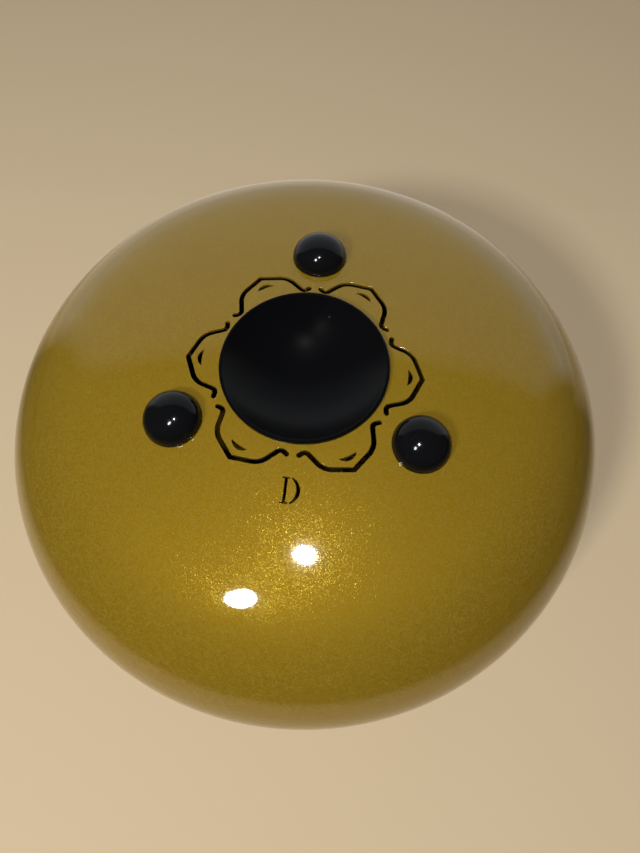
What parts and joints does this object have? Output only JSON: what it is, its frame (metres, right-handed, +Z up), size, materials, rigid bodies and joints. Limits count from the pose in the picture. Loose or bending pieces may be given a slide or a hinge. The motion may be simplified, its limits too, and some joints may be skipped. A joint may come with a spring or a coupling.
{
  "type": "steel tongue drum",
  "caption": "Round domed steel tongue drum with sounding tongues cut in one face, and a bowl-shaped port, lotus cut-outs and rubber feet on the other.",
  "frame": {"origin": "middle of the small flat at the playing shell's crown, on which the drum lies face down", "axes": "+Z up out of the underside's port, +Y from the port towards the first foot, +X along the first outer tongue"},
  "size_m": [0.356, 0.356, 0.1616],
  "materials": {
    "gold_paint": "gold flake paint under clear gloss",
    "black_gloss": "gloss",
    "rubber": "smooth",
    "steel": "plain"
  },
  "bodies": {
    "drum": {"underside_shell": "gold_paint", "playing_shell": "gold_paint", "seam_weld": "gold_paint", "port_bowl": "black_gloss", "bowl_seal": "rubber", "foot_1": "rubber", "foot_2": "rubber", "foot_3": "rubber", "foot_studs": "steel", "foot_washers": "steel", "foot_nuts": "steel"},
    "outer tongue 1": {"outer_tongue_1": "gold_paint"},
    "outer tongue 2": {"outer_tongue_2": "gold_paint"},
    "outer tongue 3": {"outer_tongue_3": "gold_paint"},
    "outer tongue 4": {"outer_tongue_4": "gold_paint"},
    "outer tongue 5": {"outer_tongue_5": "gold_paint"},
    "outer tongue 6": {"outer_tongue_6": "gold_paint"},
    "outer tongue 7": {"outer_tongue_7": "gold_paint"},
    "outer tongue 8": {"outer_tongue_8": "gold_paint"},
    "inner tongue 1": {"inner_tongue_1": "gold_paint"},
    "inner tongue 2": {"inner_tongue_2": "gold_paint"},
    "inner tongue 3": {"inner_tongue_3": "gold_paint"},
    "inner tongue 4": {"inner_tongue_4": "gold_paint"},
    "inner tongue 5": {"inner_tongue_5": "gold_paint"},
    "inner tongue 6": {"inner_tongue_6": "gold_paint"},
    "inner tongue 7": {"inner_tongue_7": "gold_paint"}
  },
  "joints": [
    {"name": "outer tongue 1 flex", "type": "hinge", "parent": "drum", "child": "outer tongue 1", "pos_m": [0.1459, 0, 0.02102], "axis": [0, 1, 0], "range_deg": [-0.3, 0.3], "stiffness_Nm_per_rad": 135.9},
    {"name": "outer tongue 2 flex", "type": "hinge", "parent": "drum", "child": "outer tongue 2", "pos_m": [0.10317, 0.10317, 0.02102], "axis": [-0.7071, 0.7071, 0], "range_deg": [-0.3, 0.3], "stiffness_Nm_per_rad": 187.6},
    {"name": "outer tongue 3 flex", "type": "hinge", "parent": "drum", "child": "outer tongue 3", "pos_m": [0, 0.1459, 0.02102], "axis": [-1, 0, 0], "range_deg": [-0.3, 0.3], "stiffness_Nm_per_rad": 151.4},
    {"name": "outer tongue 4 flex", "type": "hinge", "parent": "drum", "child": "outer tongue 4", "pos_m": [-0.10317, 0.10317, 0.02102], "axis": [-0.7071, -0.7071, 0], "range_deg": [-0.3, 0.3], "stiffness_Nm_per_rad": 173.2},
    {"name": "outer tongue 5 flex", "type": "hinge", "parent": "drum", "child": "outer tongue 5", "pos_m": [-0.1459, 0, 0.02102], "axis": [0, -1, 0], "range_deg": [-0.3, 0.3], "stiffness_Nm_per_rad": 143.5},
    {"name": "outer tongue 6 flex", "type": "hinge", "parent": "drum", "child": "outer tongue 6", "pos_m": [-0.10317, -0.10317, 0.02102], "axis": [0.7071, -0.7071, 0], "range_deg": [-0.3, 0.3], "stiffness_Nm_per_rad": 182.6},
    {"name": "outer tongue 7 flex", "type": "hinge", "parent": "drum", "child": "outer tongue 7", "pos_m": [0, -0.1459, 0.02102], "axis": [1, 0, 0], "range_deg": [-0.3, 0.3], "stiffness_Nm_per_rad": 155.6},
    {"name": "outer tongue 8 flex", "type": "hinge", "parent": "drum", "child": "outer tongue 8", "pos_m": [0.10317, -0.10317, 0.02102], "axis": [0.7071, 0.7071, 0], "range_deg": [-0.3, 0.3], "stiffness_Nm_per_rad": 164.2},
    {"name": "inner tongue 1 flex", "type": "hinge", "parent": "drum", "child": "inner tongue 1", "pos_m": [0.06991, 0, 0.00441], "axis": [0, 1, 0], "range_deg": [-0.3, 0.3], "stiffness_Nm_per_rad": 114.8},
    {"name": "inner tongue 2 flex", "type": "hinge", "parent": "drum", "child": "inner tongue 2", "pos_m": [0.04359, 0.05466, 0.00441], "axis": [-0.7818, 0.6235, 0], "range_deg": [-0.3, 0.3], "stiffness_Nm_per_rad": 146.8},
    {"name": "inner tongue 3 flex", "type": "hinge", "parent": "drum", "child": "inner tongue 3", "pos_m": [-0.01556, 0.06816, 0.00441], "axis": [-0.9749, -0.2225, 0], "range_deg": [-0.3, 0.3], "stiffness_Nm_per_rad": 124.7},
    {"name": "inner tongue 4 flex", "type": "hinge", "parent": "drum", "child": "inner tongue 4", "pos_m": [-0.06299, 0.03033, 0.00441], "axis": [-0.4339, -0.901, 0], "range_deg": [-0.3, 0.3], "stiffness_Nm_per_rad": 139.1},
    {"name": "inner tongue 5 flex", "type": "hinge", "parent": "drum", "child": "inner tongue 5", "pos_m": [-0.06299, -0.03033, 0.00441], "axis": [0.4339, -0.901, 0], "range_deg": [-0.3, 0.3], "stiffness_Nm_per_rad": 121.3},
    {"name": "inner tongue 6 flex", "type": "hinge", "parent": "drum", "child": "inner tongue 6", "pos_m": [-0.01556, -0.06816, 0.00441], "axis": [0.9749, -0.2225, 0], "range_deg": [-0.3, 0.3], "stiffness_Nm_per_rad": 150.8},
    {"name": "inner tongue 7 flex", "type": "hinge", "parent": "drum", "child": "inner tongue 7", "pos_m": [0.04359, -0.05466, 0.00441], "axis": [0.7818, 0.6235, 0], "range_deg": [-0.3, 0.3], "stiffness_Nm_per_rad": 131.7}
  ]
}
